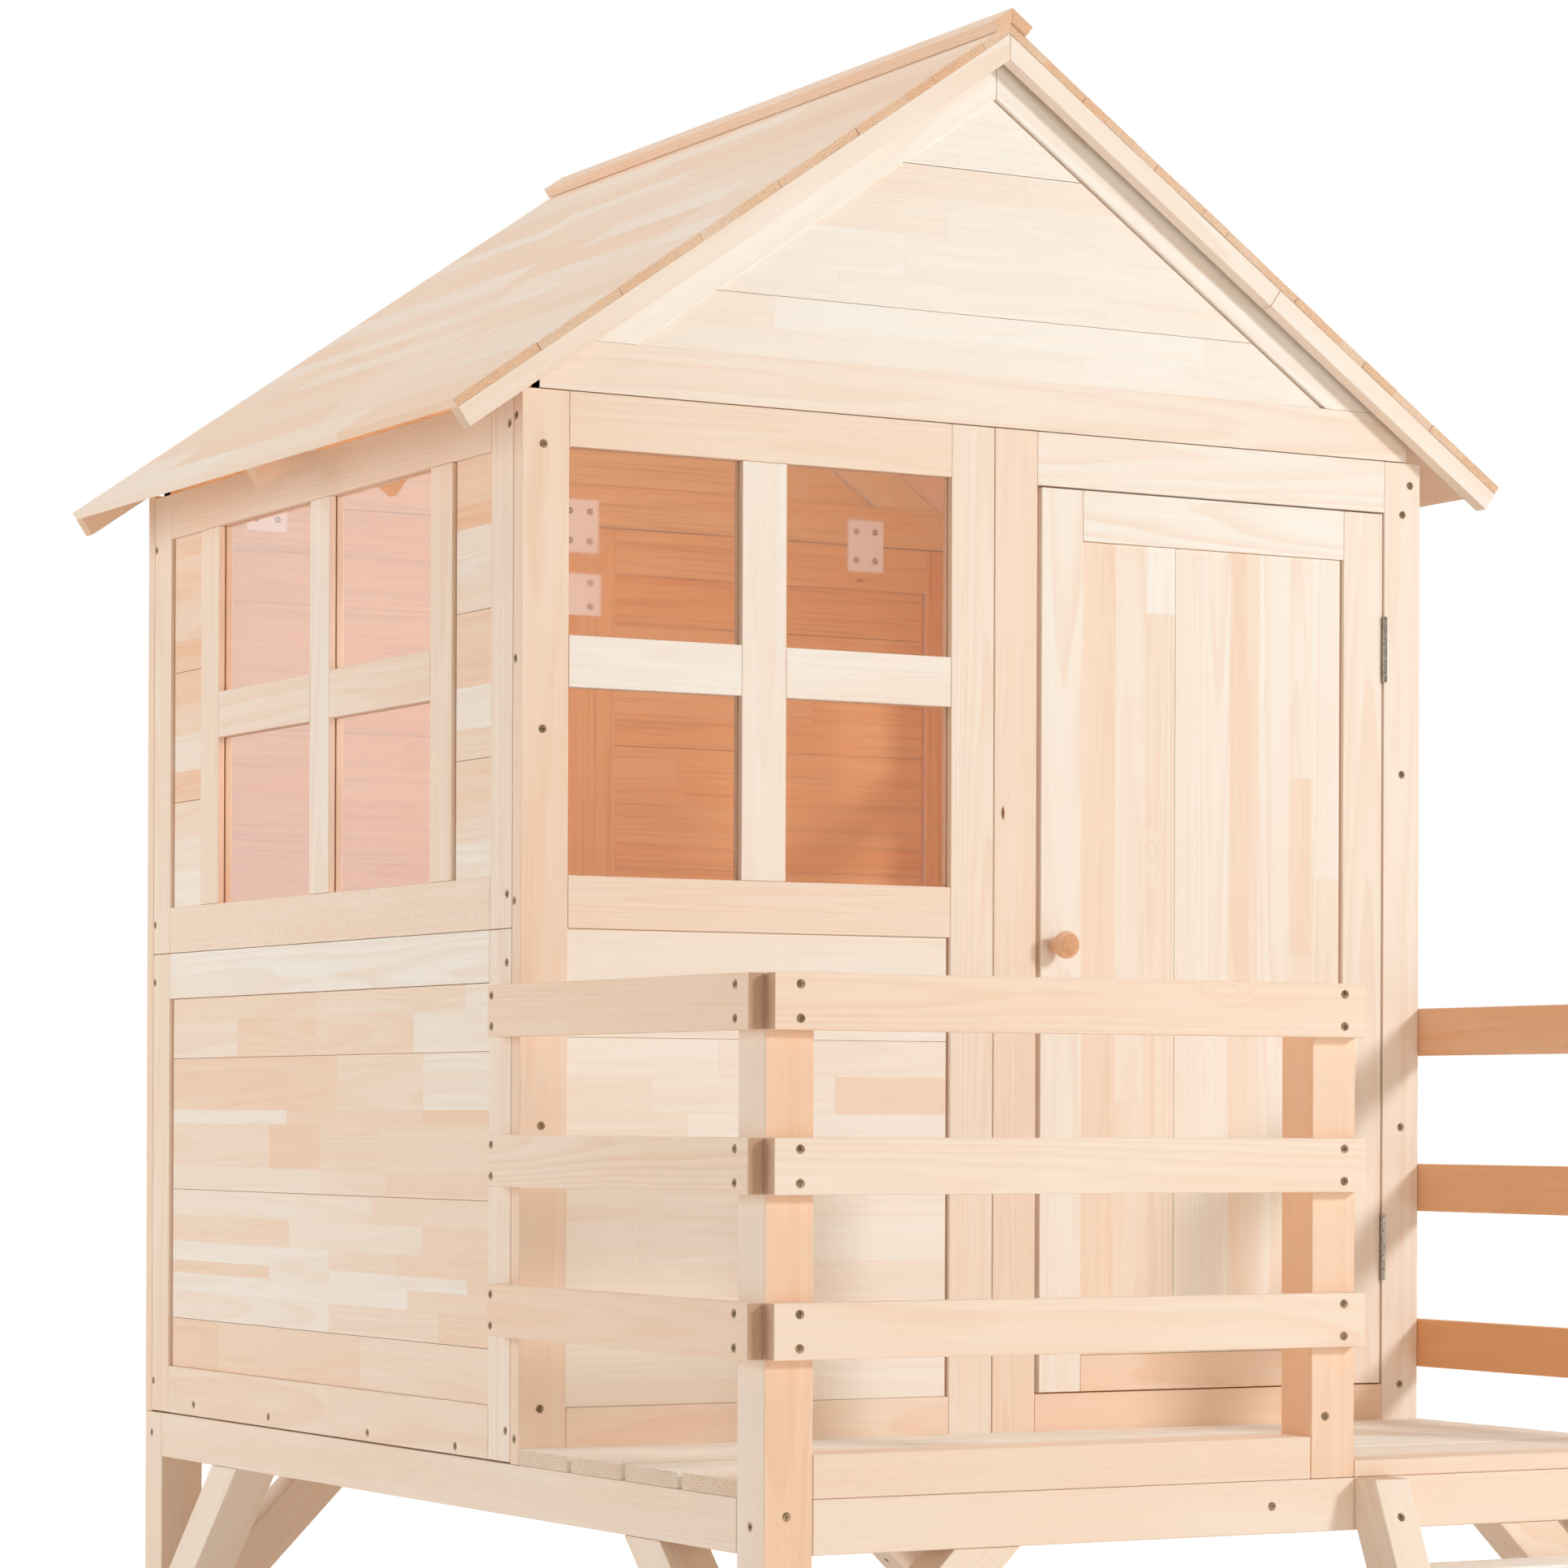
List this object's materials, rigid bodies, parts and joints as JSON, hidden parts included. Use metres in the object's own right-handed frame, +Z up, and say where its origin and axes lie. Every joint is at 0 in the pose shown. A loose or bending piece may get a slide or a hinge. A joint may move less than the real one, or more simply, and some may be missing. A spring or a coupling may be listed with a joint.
{
  "type": "wooden playhouse",
  "caption": "Raised wooden garden playhouse with pitched roof, glazed windows, hinged door, railed terrace and ladder, for children to climb into and play.",
  "frame": {"origin": "on the ground, below the middle of the outer box", "axes": "+X to the right seen from the front, +Y to the back of the house, +Z up"},
  "size_m": [1.4074, 1.955, 2.2358],
  "materials": {
    "timber_pine": "planed softwood, untreated",
    "panel_pine": "planed finger-jointed softwood, untreated",
    "roof_pine": "planed softwood boards, untreated",
    "deck_pine": "planed softwood boards, untreated",
    "turned_wood": "turned and clear lacquered",
    "clear_pane": "clear acrylic sheet",
    "hinge_metal": "zinc plated steel"
  },
  "bodies": {
    "house": {"door_surround_panel": "panel_pine", "entry_threshold_board": "deck_pine", "front_beam": "timber_pine", "front_gable": "panel_pine", "front_left_cross_brace": "timber_pine", "front_left_leg_and_post": "timber_pine", "front_left_side_brace": "timber_pine", "front_lower_rail": "timber_pine", "front_middle_rail": "timber_pine", "front_right_cross_brace": "timber_pine", "front_right_leg_and_post": "timber_pine", "front_right_side_brace": "timber_pine", "front_upper_rail": "timber_pine", "front_window_pane": "clear_pane", "front_window_panel": "panel_pine", "house_floor": "deck_pine", "ladder_left_stringer": "timber_pine", "ladder_right_stringer": "timber_pine", "ladder_step_1": "timber_pine", "ladder_step_2": "timber_pine", "ladder_step_3": "timber_pine", "left_beam": "timber_pine", "left_lower_rail": "timber_pine", "left_middle_rail": "timber_pine", "left_upper_rail": "timber_pine", "left_wall_lower_panel": "panel_pine", "left_wall_upper_panel": "panel_pine", "left_window_pane": "clear_pane", "lower_hinge_house_leaf": "hinge_metal", "middle_terrace_post": "timber_pine", "rear_beam_with_middle_joist": "timber_pine", "rear_gable": "panel_pine", "rear_left_cross_brace": "timber_pine", "rear_left_leg": "timber_pine", "rear_left_side_brace": "timber_pine", "rear_right_cross_brace": "timber_pine", "rear_right_leg": "timber_pine", "rear_right_side_brace": "timber_pine", "rear_wall_left_panel": "panel_pine", "rear_wall_right_panel": "panel_pine", "ridge_cap": "roof_pine", "right_beam": "timber_pine", "right_lower_rail": "timber_pine", "right_middle_rail": "timber_pine", "right_upper_rail": "timber_pine", "right_wall_lower_panel": "panel_pine", "right_wall_upper_panel": "panel_pine", "right_window_pane": "clear_pane", "roof_left_half": "roof_pine", "roof_right_half": "roof_pine", "terrace_board_1": "deck_pine", "terrace_board_2": "deck_pine", "terrace_board_3": "deck_pine", "terrace_board_4": "deck_pine", "terrace_toe_rail": "timber_pine", "upper_hinge_house_leaf": "hinge_metal"},
    "door": {"door_leaf": "panel_pine", "door_knob": "turned_wood", "lower_hinge_door_leaf": "hinge_metal", "upper_hinge_door_leaf": "hinge_metal"}
  },
  "joints": [
    {"name": "door_hinge", "type": "hinge", "parent": "house", "child": "door", "pos_m": [0.552, -0.14097, 1.169], "axis": [0, 0, 1], "range_deg": [0, 95]}
  ]
}
